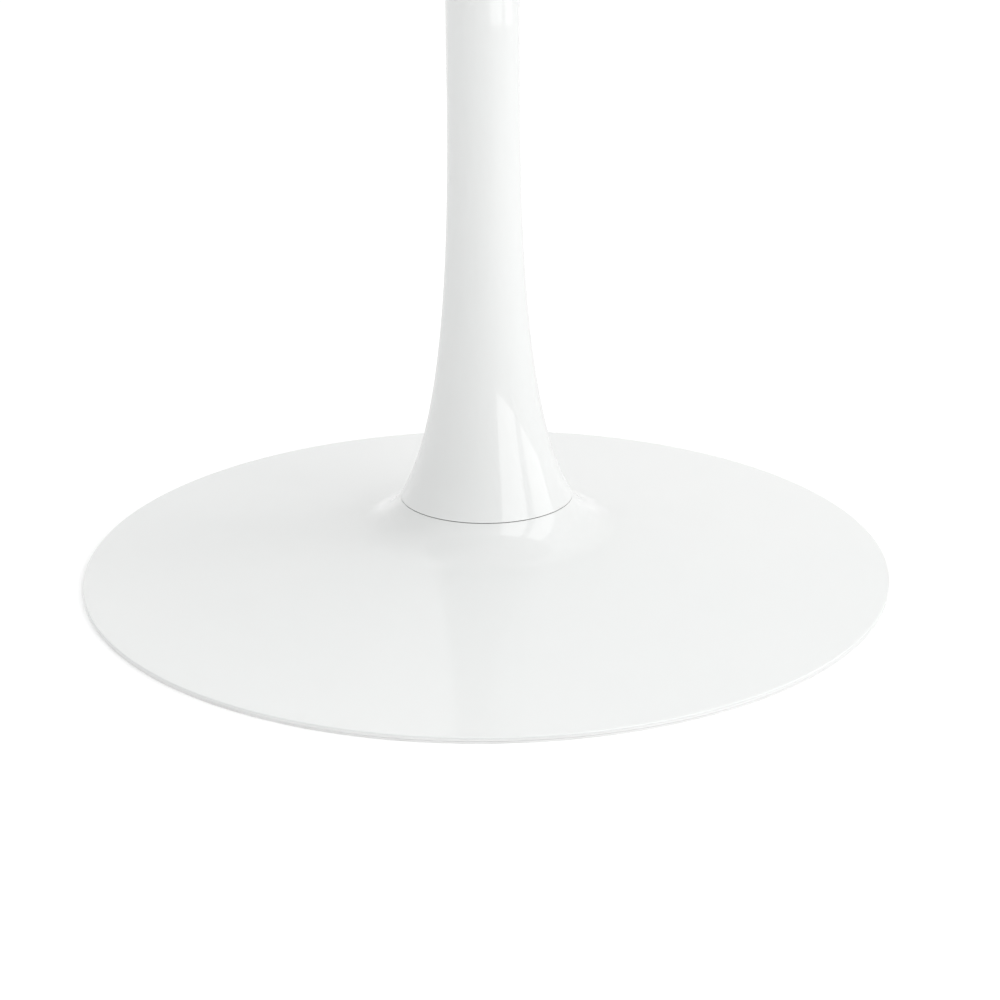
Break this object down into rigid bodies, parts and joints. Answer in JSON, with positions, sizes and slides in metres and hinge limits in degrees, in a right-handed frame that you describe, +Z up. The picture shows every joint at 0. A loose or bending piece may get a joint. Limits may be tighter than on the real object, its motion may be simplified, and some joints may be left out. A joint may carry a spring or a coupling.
{
  "type": "round pedestal table",
  "caption": "Round pedestal table: thin disc base with a low swept hub, slender trumpet column and round top with a bevelled underside, glossy white.",
  "frame": {"origin": "centre of the base on the floor", "axes": "+Z up along the column's axis, from the floor to the tabletop; X and Y are equal, as the table is round"},
  "size_m": [0.8999, 0.9, 0.74],
  "materials": {
    "white_lacquer": "high gloss",
    "white_enamel": "high gloss",
    "white_powder_coat": "satin",
    "pale_plastic": "satin",
    "dark_rubber": "matte",
    "cast_iron": "rough cast, primed",
    "zinc_steel": "zinc plated",
    "brass": "plain"
  },
  "bodies": {
    "root": {"tabletop": "white_lacquer", "top_inserts": "brass", "top_plate": "white_powder_coat", "top_plate_screws": "zinc_steel", "top_plate_washers": "zinc_steel", "top_socket": "white_powder_coat", "column_top_gasket": "dark_rubber", "column_shell": "white_enamel", "tie_rod": "zinc_steel", "rod_top_washer": "zinc_steel", "rod_top_nut": "zinc_steel", "rod_bottom_washer": "zinc_steel", "rod_spring_washer": "zinc_steel", "rod_bottom_nut": "zinc_steel", "seam_gasket": "dark_rubber", "base_cover": "white_enamel", "hub_casting": "cast_iron", "hub_screws": "zinc_steel", "ballast_ring": "cast_iron", "ballast_screws": "zinc_steel", "bottom_plate": "white_powder_coat", "service_cap": "pale_plastic", "floor_ring": "pale_plastic"}
  },
  "joints": []
}
